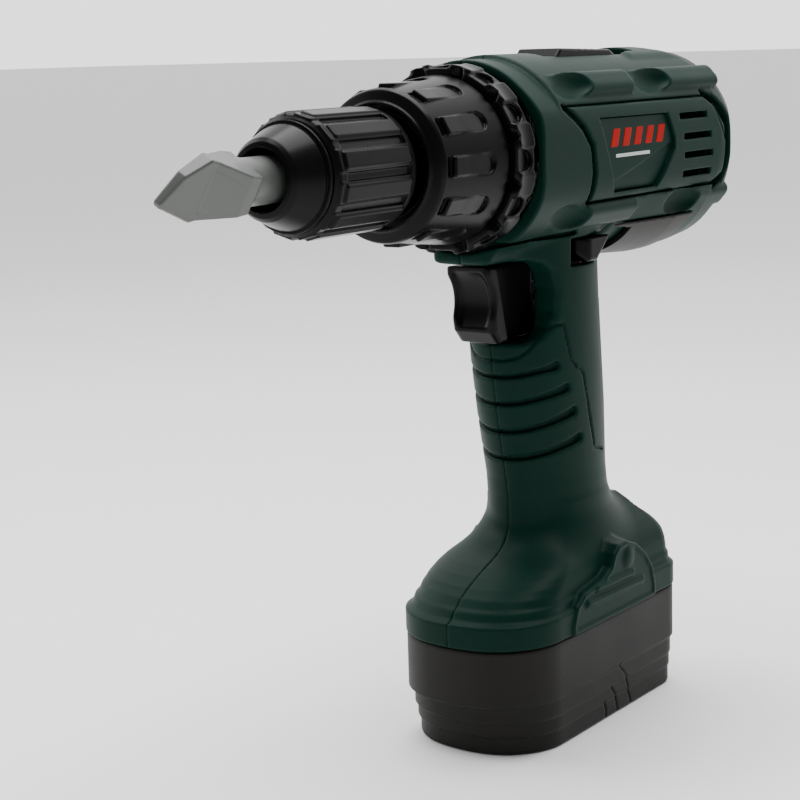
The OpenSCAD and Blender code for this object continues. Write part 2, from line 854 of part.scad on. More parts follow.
// Push-through button with a wedge on each side of the handle
module direction_button() {
    color(BLACK) {
        block([-1, -13, 142.6], [6, 13, 147.2]);
        for (side = [-1, 1]) side_plate(side > 0 ? 12.8 : -19.6, side > 0 ? 19.6 : -12.8)
            polygon([[-4, 145], [-4, 149], [9.4, 149], [4, 142.4], [-1, 142.4]]);
    }
}

module direction_switch() {
    color(CHARCOAL) block([-3, -5, 136], [9, 5, 140.6]);
    color(STEEL) block([-2.6, -5.3, 140.6 - EPS], [8.6, 5.3, 141]);
}

module speed_slider() {
    color(BLACK) {
        side_plate(-7.6, 7.6) polygon([
            [-3.8, spindle_z + 25.7], [-3.8, spindle_z + 28], [-2.2, spindle_z + 29.4],
            [34, spindle_z + 29.4], [38.5, spindle_z + 25.7]
        ]);
        block([16, -1.6, spindle_z + 21.3], [22, 1.6, spindle_z + 25.7 + EPS]);
    }
}

module speed_switch_body() {
    color(CHARCOAL) difference() {
        block([11, -6, spindle_z + 17], [36, 6, spindle_z + 22.4]);
        block([14, -2.2, spindle_z + 20.6], [33, 2.2, spindle_z + 23]);
    }
}

// ---------------------------------------------------------------- battery pack

module battery_case() {
    color(CHARCOAL) difference() {
        union() {
            translate([0, 0, 15.6]) linear_extrude(pack_h - 15.6) plan_outline(0);
            translate([0, 0, 10]) linear_extrude(5.6 + EPS) plan_outline(0.8, 1.8);
            translate([0, 0, 5.6]) linear_extrude(4.4 + EPS) plan_outline(1.2, 2.6);
            linear_extrude(5.6 + EPS) plan_outline(1.6, 3.4);
            translate([0, 0, pack_h - EPS]) linear_extrude(3) plan_outline(wall + 0.3);
        }
        translate([0, 0, bay_top + 2]) linear_extrude(40) plan_outline(wall + 2);
        block([bay_mid - bay_half_l, -bay_half_w, 1], [bay_mid + bay_half_l, bay_half_w, bay_top]);
        block([door_front - 0.4, -door_half_w - 0.4, -1], [door_rear + 0.4, door_half_w + 0.4, door_t + 0.3]);
        translate([door_screw_x, 0, 0]) cylinder(r = 1, h = 12);
        for (side = [-1, 1]) translate([24, side * 8, bay_top - 1]) cylinder(r = 1.6, h = 5);
    }
}

module battery_door() {
    color(CHARCOAL) difference() {
        union() {
            block([door_front, -door_half_w, 0], [door_rear, door_half_w, door_t]);
            for (side = [-1, 1])
                block([-16, side * 7.3 - 0.6, door_t - EPS], [32, side * 7.3 + 0.6, door_t + 1.2]);
        }
        translate([door_screw_x, 0, -1]) cylinder(r = 1.2, h = 6);
        translate([door_screw_x, 0, -1]) cylinder(r = 2.2, h = 2);
        for (i = [0 : 4]) block([27 + 2 * i, -9, -1], [27.9 + 2 * i, 9, 0.5]);
    }
}

module door_screw() {
    color(STEEL) difference() {
        union() {
            translate([door_screw_x, 0, 0.2]) cylinder(r = 2, h = 0.8);
            translate([door_screw_x, 0, 0.9]) cylinder(r = 0.95, h = 8);
        }
        translate([door_screw_x, 0, 0]) cube([2.6, 0.5, 1], center = true);
        translate([door_screw_x, 0, 0]) cube([0.5, 2.6, 1], center = true);
    }
}

// Places a cell's parts: button end at +X, or turned end for end
module at_each_cell() {
    for (i = [-1 : 1]) translate([bay_mid, i * cell_pitch, cell_z]) rotate([0, 0, i == 0 ? 180 : 0])
        children();
}

// Three AA cells side by side, the middle one turned end for end
module battery_cells() {
    button_l = 1.2;
    at_each_cell() {
        color(GREEN) rod_x(cell_r, -cell_l / 2, cell_l / 2 - button_l, 0, 0);
        color(STEEL) rod_x(2.7, cell_l / 2 - button_l - EPS, cell_l / 2, 0, 0);
    }
}

// Contact spring at each cell's flat end, wider at its seat
module cell_springs() {
    wire = 0.45;
    color(STEEL) at_each_cell() for (turn = [0 : 3])
        translate([-cell_l / 2 - wire - turn * 1.2, 0, 0]) rotate([0, 90, 0]) rotate_extrude()
            translate([2.6 + turn * 0.45, 0]) circle(r = wire, $fn = 16);
}

// Contact plates: one behind each spring, one at each button
module cell_contacts() {
    plate_t = 0.4;
    spring_room = 5.2;
    color(STEEL) at_each_cell() {
        block([cell_l / 2 + EPS, -5.5, -6], [cell_l / 2 + plate_t, 5.5, 6]);
        block([-cell_l / 2 - spring_room - plate_t, -5.5, -6], [-cell_l / 2 - spring_room, 5.5, 6]);
    }
}

// ---------------------------------------------------------------- wiring

// Insulated wire on a smooth path through a list of points; side mirrors it
module wire_run(points, side) {
    across = [0, 1, 0];
    sided = [for (p = points) [p[0], side * p[1], p[2]]];
    tube(smooth_path(sided, 3), 0.8, 8, across);
}

module supply_wires() {
    route = [
        [24, 8, 17.8], [24, 8, 30], [24, 6, 48], [22, 5, 70], [20.5, 5, 92], [20.5, 5, 106],
        [19, 5, 115], [12.5, 4.4, 118.4], [11, 4, 121.4]
    ];
    color(RED) wire_run(route, 1);
    color(BLACK) wire_run(route, -1);
}

module motor_wires() {
    route = [
        [11, 7.2, 125], [12.5, 8, 134], [13, 7.5, 144], [17, 6, 148.6], [27, 5, 149.6], [50, 5, 150.6],
        [58.5, 6.5, 156], [60.4, 7, 161], [57.6, 7, 164]
    ];
    color(RED) wire_run(route, 1);
    color(BLACK) wire_run(route, -1);
}

housing_left();
housing_right();
housing_screws();
vent_panel_left();
vent_panel_right();
label_left();
label_right();
palm_pad();
gearbox_ring();
click_spring();
spindle_bush();
gearbox_case();
gearbox_plate();
gearbox_screws();
gear_axles();
motor_can();
motor_magnets();
motor_endcap();
motor_rotor();
motor_pinion();
counter_gear_1();
counter_gear_2();
output_gear();
spindle_shaft();
chuck_nose();
chuck_sleeve();
bit();
torque_collar();
trigger();
trigger_spring();
trigger_switch();
direction_button();
direction_switch();
speed_slider();
speed_switch_body();
battery_case();
battery_door();
door_screw();
battery_cells();
cell_springs();
cell_contacts();
supply_wires();
motor_wires();
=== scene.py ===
import json
import math
import bpy
import numpy as np
from mathutils import Matrix, Vector


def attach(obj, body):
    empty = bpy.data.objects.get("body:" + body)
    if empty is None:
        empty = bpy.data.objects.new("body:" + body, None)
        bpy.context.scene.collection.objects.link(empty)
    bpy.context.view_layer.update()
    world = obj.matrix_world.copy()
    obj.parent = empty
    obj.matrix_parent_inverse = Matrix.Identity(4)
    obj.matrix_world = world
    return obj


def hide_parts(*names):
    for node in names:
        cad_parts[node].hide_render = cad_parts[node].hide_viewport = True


# The toy drill's looks. Each piece sculpted here is the zero surface of a shape function.
# Lengths in the shape functions are millimetres in the CAD frame:
# +Z up, -X towards the bit, -Y the drill's left side. Meshes are scaled to metres at the end.
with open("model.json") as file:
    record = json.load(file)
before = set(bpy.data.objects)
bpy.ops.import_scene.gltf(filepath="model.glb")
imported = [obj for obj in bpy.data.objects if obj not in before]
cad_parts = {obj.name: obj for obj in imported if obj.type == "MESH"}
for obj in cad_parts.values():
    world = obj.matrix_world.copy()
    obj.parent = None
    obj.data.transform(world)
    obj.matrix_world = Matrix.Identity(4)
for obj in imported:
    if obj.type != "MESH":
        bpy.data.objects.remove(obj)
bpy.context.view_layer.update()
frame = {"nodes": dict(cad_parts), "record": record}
MM = 0.001
AXIS_Z = 175.5
LOW_AXIS_Z = 167.5  # centre of the barrel's rounded underside
SIDE_ONLY_Y = 8  # side details keep at least this far from the mid-plane
SECTORS = 12  # round the sleeve, the collar and the ring
HALF_SECTOR = 15  # degrees

# ------------------------------------------------------------------ shape functions
# Each takes arrays of x, y, z that broadcast together and gives a distance: below zero is inside.


def blend_min(a, b, k):
    h = np.maximum(k - np.abs(a - b), 0) / k
    return np.minimum(a, b) - h * h * (k * 0.25)


def blend_max(a, b, k):
    return -blend_min(-a, -b, k)


def along(v, places, values):
    return np.interp(v, places, values).astype(np.float32)


def ease(v, low, high):
    t = np.clip((v - low) / (high - low), 0, 1)
    return t * t * (3 - 2 * t)


def polygon(x, z, points):
    """Distance to a closed outline, below zero inside."""
    nearest = None
    sign = 1.0
    for k, (bx, bz) in enumerate(points):
        ax, az = points[k - 1]
        ex, ez = bx - ax, bz - az
        wx, wz = x - ax, z - az
        t = np.clip((wx * ex + wz * ez) / (ex * ex + ez * ez), 0, 1)
        d = (wx - ex * t) ** 2 + (wz - ez * t) ** 2
        nearest = d if nearest is None else np.minimum(nearest, d)
        above = z >= az
        below = z < bz
        left = ex * wz > ez * wx
        crossing = (above & below & left) | (~above & ~below & ~left)
        sign = np.where(crossing, -sign, sign)
    return sign * np.sqrt(nearest)


def polyline(x, z, points):
    """Distance to an open line."""
    nearest = None
    for (ax, az), (bx, bz) in zip(points, points[1:]):
        ex, ez = bx - ax, bz - az
        t = np.clip(((x - ax) * ex + (z - az) * ez) / (ex * ex + ez * ez), 0, 1)
        d = (x - ax - ex * t) ** 2 + (z - az - ez * t) ** 2
        nearest = d if nearest is None else np.minimum(nearest, d)
    return np.sqrt(nearest)


def slab(v, low, high):
    return np.maximum(low - v, v - high)


def block(x, y, z, low, high, k=0.6):
    d = blend_max(slab(x, low[0], high[0]), slab(y, low[1], high[1]), k)
    return blend_max(d, slab(z, low[2], high[2]), k)


def radius(y, z, axis=AXIS_Z):
    return np.hypot(y, z - axis)


def turned(x, r, profile):
    """Solid turned from an outline of [x, radius] pairs."""
    return polygon(x, r, profile)


def repeated(y, z, count, first=0.0):
    """Folds the plane about the spindle: gives (outward, sideways) in the nearest of count sectors."""
    r = radius(y, z)
    step = 2 * math.pi / count
    angle = np.arctan2(y, z - AXIS_Z) - math.radians(first)
    folded = angle - step * np.round(angle / step)
    return r * np.cos(folded), r * np.sin(folded)


# ------------------------------------------------------------------ meshes from shape functions

CORNERS = [(i, j, k) for i in (0, 1) for j in (0, 1) for k in (0, 1)]
EDGES = [(a, b) for a in range(8) for b in range(a + 1, 8)
         if sum(abs(p - q) for p, q in zip(CORNERS[a], CORNERS[b])) == 1]


def grid_lines(low, high, cell):
    """Grid places that reach at least one cell past the box on each side."""
    return [np.arange(lo - 1.5 * cell, hi + 2.5 * cell, cell, dtype=np.float32)
            for lo, hi in zip(low, high)]


def surface_mesh(name, field, low, high, cell, mirror_y=False):
    """Mesh of the surface where the field is zero, one vertex to each cell that it crosses."""
    xs, ys, zs = grid_lines(low, high, cell)
    f = np.asarray(field(xs[:, None, None], ys[None, :, None], zs[None, None, :]), np.float32)
    f = np.broadcast_to(f, (len(xs), len(ys), len(zs)))
    inside = f < 0
    size = tuple(n - 1 for n in f.shape)
    count = np.zeros(size, np.int8)
    for i, j, k in CORNERS:
        count += inside[i:i + size[0], j:j + size[1], k:k + size[2]]
    cells = np.argwhere((count > 0) & (count < 8))
    index = np.full(size, -1, np.int32)
    index[tuple(cells.T)] = np.arange(len(cells))
    values = np.stack([f[tuple((cells + c).T)] for c in CORNERS], 1)
    total = np.zeros((len(cells), 3), np.float32)
    hits = np.zeros(len(cells), np.float32)
    for a, b in EDGES:
        va, vb = values[:, a], values[:, b]
        crossed = (va < 0) != (vb < 0)
        gap = np.where(crossed, va - vb, 1)
        t = np.where(crossed, va / gap, 0)[:, None]
        pa = np.array(CORNERS[a], np.float32)
        pb = np.array(CORNERS[b], np.float32)
        total += np.where(crossed[:, None], pa + (pb - pa) * t, 0)
        hits += crossed
    points = cells + total / hits[:, None]
    points = np.stack([xs[0] + points[:, 0] * cell, ys[0] + points[:, 1] * cell,
                       zs[0] + points[:, 2] * cell], 1).astype(np.float32)
    points = settle(points, field, cell)
    quads = []
    for axis in range(3):
        u, v = [k for k in range(3) if k != axis]
        ahead = np.moveaxis(inside, axis, 0)
        change = ahead[1:] != ahead[:-1]
        edge = np.argwhere(np.moveaxis(change, 0, axis))
        ok = (edge[:, u] > 0) & (edge[:, v] > 0) & (edge[:, u] < size[u]) & (edge[:, v] < size[v])
        edge = edge[ok]
        loop = []
        for du, dv in ((0, 0), (1, 0), (1, 1), (0, 1)):
            at = edge.copy()
            at[:, u] -= du
            at[:, v] -= dv
            loop.append(index[tuple(at.T)])
        loop = np.stack(loop, 1)
        start_inside = inside[tuple(edge.T)]
        flip = start_inside == (axis == 1)
        loop[flip] = loop[flip][:, ::-1]
        quads.append(loop)
    quads = np.concatenate(quads)
    quads = quads[(quads >= 0).all(1)]
    if mirror_y:
        points = points * np.array([1, -1, 1], np.float32)
        quads = quads[:, ::-1]
    return new_mesh(name, points * MM, quads)


def slope_at(points, field, reach):
    """Gradient of the field at the points, by central differences."""
    g = np.empty_like(points)
    for axis in range(3):
        move = np.zeros(3, np.float32)
        move[axis] = reach
        a, b = points + move, points - move
        g[:, axis] = (field(*a.T) - field(*b.T)) / (2 * reach)
    return g


def settle(points, field, cell):
    """Two steps that bring the vertices onto the surface."""
    start = points.copy()
    for _ in range(2):
        g = slope_at(points, field, cell * 0.2)
        d = np.asarray(field(*points.T))[:, None]
        step = d * g / np.maximum((g * g).sum(1, keepdims=True), 0.2)
        points = points - np.clip(step, -0.4 * cell, 0.4 * cell)
        points = start + np.clip(points - start, -0.6 * cell, 0.6 * cell)
    return points.astype(np.float32)


def new_mesh(name, points, faces):
    mesh = bpy.data.meshes.new(name)
    mesh.vertices.add(len(points))
    mesh.vertices.foreach_set("co", np.ascontiguousarray(points, np.float32).ravel())
    sides = faces.shape[1]
    mesh.loops.add(faces.size)
    mesh.loops.foreach_set("vertex_index", np.ascontiguousarray(faces, np.int32).ravel())
    mesh.polygons.add(len(faces))
    mesh.polygons.foreach_set("loop_start", np.arange(0, faces.size, sides, dtype=np.int32))
    mesh.polygons.foreach_set("use_smooth", np.ones(len(faces), bool))
    mesh.update(calc_edges=True)
    mesh.validate()
    obj = bpy.data.objects.new(name, mesh)
    bpy.context.scene.collection.objects.link(obj)
    return obj


def piece(name, field, low, high, cell, material, body, replaced, mirror_y=False):
    obj = surface_mesh(name, field, low, high, cell, mirror_y)
    obj.data.materials.append(material)
    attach(obj, body)
    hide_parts(*replaced)
    return obj


# ------------------------------------------------------------------ housing

BARREL_FRONT = -38.0
BARREL_REAR = 91.0
BARREL_R = 28.7
BARREL_X = [-40, 70, 76, 81, 85, 88.5, 91]
BARREL_RADII = [BARREL_R, BARREL_R, 28.0, 26.4, 24.2, 21.4, 17.5]
FLAT_HALF_W = 27.0
FLAT_X = [-40, 72, 80, 85, 89, 91]
FLAT_WIDTHS = [FLAT_HALF_W, FLAT_HALF_W, 26.5, 25, 22.6, 20]
RIM_STEP = 1.2
BELLY_FRONT = 12
BELLY_X = [BELLY_FRONT, 24, 34, 48, 66, 76, 83, 88, 91]
BELLY_RADII = [24.4, 25.2, 26.1, 27, 27, 26, 23.8, 21, 18]
HANDLE_Z = [36, 50, 62, 71, 77, 87, 97, 113, 130, 151, 160]
HANDLE_X = [6.4, 6.0, 5.8, 5.4, 4.7, 3.4, 2.2, 0.1, -1.5, -3.5, -4]
HANDLE_HALF_L = [25, 24.2, 23.6, 23.4, 23.3, 24.3, 25.2, 25.4, 25, 25, 25]
HANDLE_HALF_W = [18, 17.2, 16.8, 16.6, 16.5, 16.8, 17.1, 17.6, 18, 18.6, 18.8]
FOOT_Z = [33, 40.2, 41.4, 43.6, 44.4, 46.5, 50.6, 53.5, 56.8, 61, 66]
FOOT_INSET = [-0.3, -0.3, 1.2, 1.4, 2.0, 2.2, 2.8, 4.6, 8.6, 15, 25]
FOOT_SETBACK = [0, 0, 1.0, 2.4, 3.4, 5.2, 12.2, 23, 35, 48, 62]
RIDGE_REACH = 26.9
RIDGE_HALF_W = 4.2
RIDGE_TOP = 4.3
RIDGE_ANGLES = {1: math.radians(42.5), -1: math.radians(40)}
RIDGES_TOP = [(-22, 19), (26, 74.8)]
RIDGES_LOW = [(-25, 19.4), (44, 80.6)]
WELL = [(-70, 120), (-22, 120), (-18, 121.2), (-15, 124), (-13.5, 128.6), (-13.5, 135.6), (-15, 140.4),
        (-18, 143.2), (-22, 144.4), (-70, 144.4)]
GRIP_LINE = [(-40, 114.5), (-25, 114.9), (-23.1, 115.6), (-20.4, 118.5), (-19, 120.8),
             (-16.9, 124.5), (-10.9, 124.8), (-7.7, 113.6), (-1.6, 108.6), (6, 84.2), (13, 82.2)]
FINGER_GROOVES = [((-60, 105), (-25, 109.6), (-13, 112.3)), ((-60, 96), (-24, 101.1), (-8.7, 105)),
                  ((-60, 86.5), (-23, 92.2), (-5.3, 97.4)), ((-60, 78), (-20, 84), (-2.4, 88.8))]
SEAT_LINE = [(-46, 150.6), (-21, 151.2), (-7, 151.8)]
PANEL = [(-24.5, 188.8), (-15.7, 182.9), (-11, 177.4), (-9.7, 169.9), (-10.7, 161), (67.3, 161),
         (74.6, 164), (75.4, 174), (66.8, 185.9), (61.6, 188.8)]
CHANNEL = [(62, 190.4), (68.9, 187.8), (77, 180.6), (78.4, 170.5), (74.4, 161.8), (68.5, 159.6)]
LABEL = [(-6.6, 185.2), (35.6, 184.9), (39.6, 177.4), (39.8, 173.8), (30.1, 162.7), (3.1, 162.7)]
VENTS = [(43.1, 61.7, 183.4), (45.9, 64.5, 177), (46.2, 65.7, 171.1), (45.9, 65, 165.3)]
HUMP = [(43, 188), (36, 200), (44.5, 206.5), (58, 205.6), (82, 197.8), (88, 188)]
CATCH = [(-24.2, 36.6), (-22, 41.6), (-17.2, 44.6), (-6, 46.4), (-1.2, 48.8), (0.6, 52.6), (3.6, 54.8),
         (8.6, 55.2), (15, 52.9), (21, 48.6), (25.2, 43.4), (27, 37.1), (26.9, 33), (-24.4, 33)]
BUTTON_HOLE = [(-8.5, 141.6), (-8.5, 150), (14, 150), (4.6, 141.6)]
PAD_SIDE = [(13, 130), (13, 152.4), (60, 152.4), (50, 130)]
SEAM_LAP = 0.02
SCREW_HEAD_R = 2.8
SCREW_BOSS_R = 4.2
# Place of each screw in side view, and how far its head lies from the mid-plane
SCREWS = [(-24, 196.5, 9), (68, 195.5, 9), (66, 157, 10), (-24, 155, 9), (15, 111, 7), (8, 76, 7),
          (-33, 38.5, 12), (37, 38.5, 12)]


def barrel(x, y, z):
    """Round motor barrel with flattened sides and a rounded rear; its front rim steps down on top."""
    step_down = RIM_STEP * ease(z, 186, 197) * ease(-x, 26.0, 27.4)
    d = radius(y, z) - along(x, BARREL_X, BARREL_RADII) + step_down
    d = blend_max(d, y - along(x, FLAT_X, FLAT_WIDTHS), 1.8)
    d = blend_max(d, x - BARREL_REAR, 4)
    return blend_max(d, BARREL_FRONT - x, 0.8)


def belly(x, y, z):
    """Lower rear of the barrel, with its own axis."""
    d = radius(y, z, LOW_AXIS_Z) - along(x, BELLY_X, BELLY_RADII)
    d = blend_max(d, x - BARREL_REAR + 0.5, 4)
    return blend_max(d, BELLY_FRONT - x, 5)


def handle(x, y, z):
    """Handle, an ellipse at each height."""
    half_l = along(z, HANDLE_Z, HANDLE_HALF_L)
    half_w = along(z, HANDLE_Z, HANDLE_HALF_W)
    u = (x - along(z, HANDLE_Z, HANDLE_X)) / half_l
    v = y / half_w
    k0 = np.hypot(u, v)
    k1 = np.maximum(np.hypot(u / half_l, v / half_w), 1e-4)
    d = k0 * (k0 - 1) / k1
    return np.maximum(d, slab(z, 36, 158))


ARC_X = -7.5
ARC_R = 44.6
CORNER_R = 21.9
REAR_R = 11.0
PACK_HALF_W = 25.5
PACK_REAR = 48.4
CORNER_X = ARC_X - math.sqrt((ARC_R - CORNER_R) ** 2 - (PACK_HALF_W - CORNER_R) ** 2)


def plan(x, y):
    """Outline of the pack from above, for y from 0 up: bowed front and round corners."""
    corner_y = PACK_HALF_W - CORNER_R
    rear_x = PACK_REAR - REAR_R
    rear_y = PACK_HALF_W - REAR_R
    slope = corner_y / (ARC_X - CORNER_X)
    front = np.hypot(x - ARC_X, y) - ARC_R
    corner = np.hypot(x - CORNER_X, y - corner_y) - CORNER_R
    rear = np.where(y > rear_y, np.hypot(x - rear_x, y - rear_y) - REAR_R, x - PACK_REAR)
    rear = np.maximum(rear, y - PACK_HALF_W)
    nose = np.where(y < (ARC_X - x) * slope, front, corner)
    return np.where(x < CORNER_X, nose, np.where(x > rear_x, rear, y - PACK_HALF_W))


def plan_slice(x, y, inset, setback):
    """The outline drawn in all round, with its front set back further."""
    moved = x - setback * np.clip((20 - x) / 60, 0, 1)
    return plan(moved, y) + inset


def softened(z, values):
    """The foot's table, rounded off above the lip at its lower edge."""
    near = along(z, FOOT_Z, values)
    wide = (along(z - 2, FOOT_Z, values) + near + along(z + 2, FOOT_Z, values)) / 3
    return near + (wide - near) * ease(z, 46, 49)


def foot(x, y, z):
    """Flared foot of the handle, from the lip above the pack up to the handle."""
    inset = softened(z, FOOT_INSET)
    setback = softened(z, FOOT_SETBACK)
    lean = along(z, [47, 52, 57, 66], [1.0, 1.9, 2.4, 2.6])
    d = plan_slice(x, y, inset, setback) / lean
    d = np.maximum(d, z - 63)
    return blend_max(d, 33.2 - z, 0.6)


def ridge(x, y, z, side, span):
    """One raised bar along the barrel, and the scooped hollow in its front end."""
    c, s = math.cos(RIDGE_ANGLES[side]), side * math.sin(RIDGE_ANGLES[side])
    out = (y - RIDGE_REACH * c) * c + (z - AXIS_Z - RIDGE_REACH * s) * s
    across = (z - AXIS_Z) * c - y * s
    d = blend_max(np.abs(across) - RIDGE_HALF_W, out - RIDGE_TOP, 3)
    d = blend_max(d, (span[0] - x) * 0.32 + (out - 1.6) * 0.95, 0.6)
    d = blend_max(d, x - span[1], 1.2)
    low = (across + 1.7 * side) / 5.4
    scoop = np.sqrt(((x - span[0] - 5) / 11) ** 2 + low ** 2 + ((out - 4.8) / 4.4) ** 2)
    return d, (scoop - 1) * 4.0


def hump(x, y, z):
    """Raised rear of the barrel's top, behind the slider."""
    d = blend_max(polygon(x, z, HUMP), radius(y, z) - 29.5, 1.0)
    return blend_max(d, y - 12.5, 3.0)


def catch_plate(x, y, z):
    """Moulded catch on the foot's side: plate, rim, dome and two bars."""
    outline = polygon(x, z, CATCH)
    plate = blend_max(outline, y - 26.2, 0.6)
    rim = blend_max(np.abs(outline + 1.0) - 0.7, y - 26.7, 0.6)
    dome = np.sqrt((x - 9.6) ** 2 + (z - 49.4) ** 2 + ((y - 25.4) * 2.2) ** 2) - 3.9
    d = blend_min(plate, rim, 0.5)
    d = blend_min(d, dome * 0.7, 0.6)
    for ends in (((-15.5, 40.9), (18.3, 40.4)), ((-10, 44.4), (11.9, 44.2))):
        bar = np.hypot(polyline(x, z, ends), y - 25.8) - 1.35
        d = blend_min(d, bar, 0.4)
    return blend_max(d, 20 - y, 0.5)


def housing_solid(x, y, z):
    """Outside of the housing with nothing cut; also gives the barrel and the handle alone."""
    body = barrel(x, y, z)
    d = blend_min(body, belly(x, y, z), 3)
    top = hump(x, y, z)
    d = blend_min(d, top, 1.5)
    for side, spans in ((1, RIDGES_TOP), (-1, RIDGES_LOW)):
        for span in spans:
            bar, scoop = ridge(x, y, z, side, span)
            d = blend_max(blend_min(d, bar, 0.5), -scoop, 0.4)
    grip = handle(x, y, z)
    d = blend_min(d, grip, 2.5)
    chin = block(x, y, z, (-41.5, -1, 144.4), (-15, 9.5, 160), 2.5)
    d = blend_min(d, chin, 4)
    lower = foot(x, y, z)
    catch = catch_plate(x, y, z)
    lower = blend_min(lower, catch, 0.5)
    d = blend_min(d, lower, 9)
    return d, body, grip


def carve(d, channel, surface, depth, k=0.5):
    """Cuts a channel so far below a surface."""
    return blend_max(d, -np.maximum(channel, -(surface + depth)), k)


def housing(x, y, z):
    """Outside of the housing with its grooves, seats and openings cut."""
    skin, body, grip = housing_solid(x, y, z)
    d = skin
    for ends in FINGER_GROOVES:
        wide = along(x, [-26, -16, ends[2][0]], [0.55, 0.9, 1.45])
        d = carve(d, polyline(x, z, ends) - wide, grip, 1.8, 0.6)
    d = carve(d, polyline(x, z, GRIP_LINE) - 0.34, grip, 0.7, 0.2)
    d = carve(d, np.maximum(polyline(x, z, SEAT_LINE) - 0.6, 4 - y), skin, 1.6, 0.3)
    outline = polygon(x, z, PANEL)
    d = carve(d, np.maximum(outline - 0.5, SIDE_ONLY_Y - y), body, 1.9, 0.25)
    front_gap = polyline(x, z, PANEL[:5]) - 1.0
    d = carve(d, np.maximum(front_gap, SIDE_ONLY_Y - y), body, 3.2, 0.3)
    wide = along(z, [160, 165, 184, 190], [0.8, 2.5, 2.4, 0.7])
    d = carve(d, np.maximum(polyline(x, z, CHANNEL) - wide, SIDE_ONLY_Y - y), body, 5.5, 0.6)
    for x0, x1, mid in VENTS:
        slot = np.maximum(slab(x, x0 - 0.3, x1 + 0.3), slab(z, mid - 1.3, mid + 1.3))
        d = carve(d, np.maximum(slot, SIDE_ONLY_Y - y), body, 9, 0.2)
    well = polygon(x, z, WELL)
    d = blend_max(d, -np.maximum(well, y - 30), 1.6)
    slot = block(x, y, z, (-22, -8, 120.2), (4, 7.9, 144.7), 0.3)
    d = blend_max(d, -slot, 0.3)
    bore = np.maximum(radius(y, z) - 24.9, x - (BARREL_FRONT + 4.4))
    d = blend_max(d, -bore, 0.4)
    seat = np.maximum(radius(y, z) - 27.3, x - BARREL_FRONT + 0.2)
    d = blend_max(d, -seat, 0.8)
    slider = block(x, y, z, (0.6, -9, 200.6), (47.4, 8.1, 212), 0.5)
    dip = block(x, y, z, (-5.2, -9, 203.1), (8, 8.1, 212), 0.5)
    d = blend_max(d, -np.minimum(slider, dip), 0.5)
    inner_side = 10 + 2.5 * ease(x, 8, 10)
    d = blend_max(d, -np.maximum(polygon(x, z, BUTTON_HOLE), inner_side - y), 0.8)
    d = carve(d, np.maximum(polygon(x, z, PAD_SIDE) - 0.4, 6 - y), belly(x, y, z), 0.9, 0.2)
    return d


def cavity(x, y, z):
    """The hollow inside the housing."""
    r = along(x, [-40, 76, 84, 91], [24.6, 24.6, 22, 18])
    d = blend_max(radius(y, z) - r, slab(x, BARREL_FRONT + 4.4, 86.5), 3)
    low = blend_max(radius(y, z, LOW_AXIS_Z) - 21.8, slab(x, 16, 84), 3)
    d = blend_min(d, low, 2)
    inner = np.maximum(handle(x, y, z) + 3.6, 48 - z)
    inner = np.maximum(inner, -(polygon(x, z, WELL) - 2.4))
    d = blend_min(d, inner, 3)
    shoe = blend_max(foot(x, y, z) + 3.0, slab(z, 33, 51), 0.5)
    return blend_min(d, shoe, 3)


def housing_shell(x, y, z):
    """One half of the hollow housing, for y from 0 up."""
    d = housing(x, y, z)
    d = np.maximum(d, -cavity(x, y, z))
    return blend_max(d, -SEAM_LAP - y, 0.3)


def housing_shell_right(x, y, z):
    """The right half, which also has the screw bosses and the holes for their heads."""
    d = housing_shell(x, y, z)
    for sx, sz, head in SCREWS:
        off_axis = np.hypot(x - sx, z - sz)
        boss = np.maximum(off_axis - SCREW_BOSS_R, y - head - 2)
        hole = np.maximum(off_axis - SCREW_HEAD_R, head - y)
        d = np.minimum(d, np.maximum(boss, 0.5 - y))
        d = blend_max(d, -hole, 0.4)
    return d


# ------------------------------------------------------------------ panels and decals


def panel(x, y, z):
    """Side insert with a shallow window for the label and four vent slots."""
    body = barrel(x, y, z)
    outline = polygon(x, z, PANEL)
    outline = np.maximum(outline, 1.0 - polyline(x, z, PANEL[:5]))
    d = blend_max(outline, body - 0.25, 0.7)
    d = np.maximum(d, -(body + 1.7))
    window = polygon(x, z, LABEL)
    d = carve(d, window, body, 1.5, 0.25)
    for x0, x1, mid in VENTS:
        slot = blend_max(slab(x, x0, x1), slab(z, mid - 1.0, mid + 1.0), 0.6)
        d = blend_max(d, -slot, 0.3)
    return np.maximum(d, SIDE_ONLY_Y - y)


def label(x, y, z):
    """Film in the window, with a low diagonal step."""
    body = barrel(x, y, z)
    step = 0.45 * ease((z - 165.2) * 37.5 - (x - 0.5) * 10.2, -8, 8)
    d = np.maximum(polygon(x, z, LABEL) + 0.12, body + 1.3 - step)
    d = np.maximum(d, -(body + 2.6))
    return np.maximum(d, SIDE_ONLY_Y - y)


BAR_X = [1.5, 8.5, 15.5, 22.5, 29.5]


def bars(x, y, z):
    """Five plain slanted bars, a generic decoration."""
    body = barrel(x, y, z)
    lean = x - (z - 178) * 0.35
    d = None
    for start in BAR_X:
        bar = blend_max(slab(lean, start, start + 4.2), slab(z, 176.2, 181.6), 0.5)
        d = bar if d is None else np.minimum(d, bar)
    d = np.maximum(d, body + 0.75)
    return np.maximum(np.maximum(d, -(body + 1.2)), SIDE_ONLY_Y - y)


def stripe(x, y, z):
    """One plain stripe under the bars."""
    body = barrel(x, y, z)
    d = blend_max(slab(x, 4.0, 25.0), slab(z, 173.0, 174.1), 0.3)
    d = np.maximum(d, body + 0.75)
    return np.maximum(np.maximum(d, -(body + 1.3)), SIDE_ONLY_Y - y)


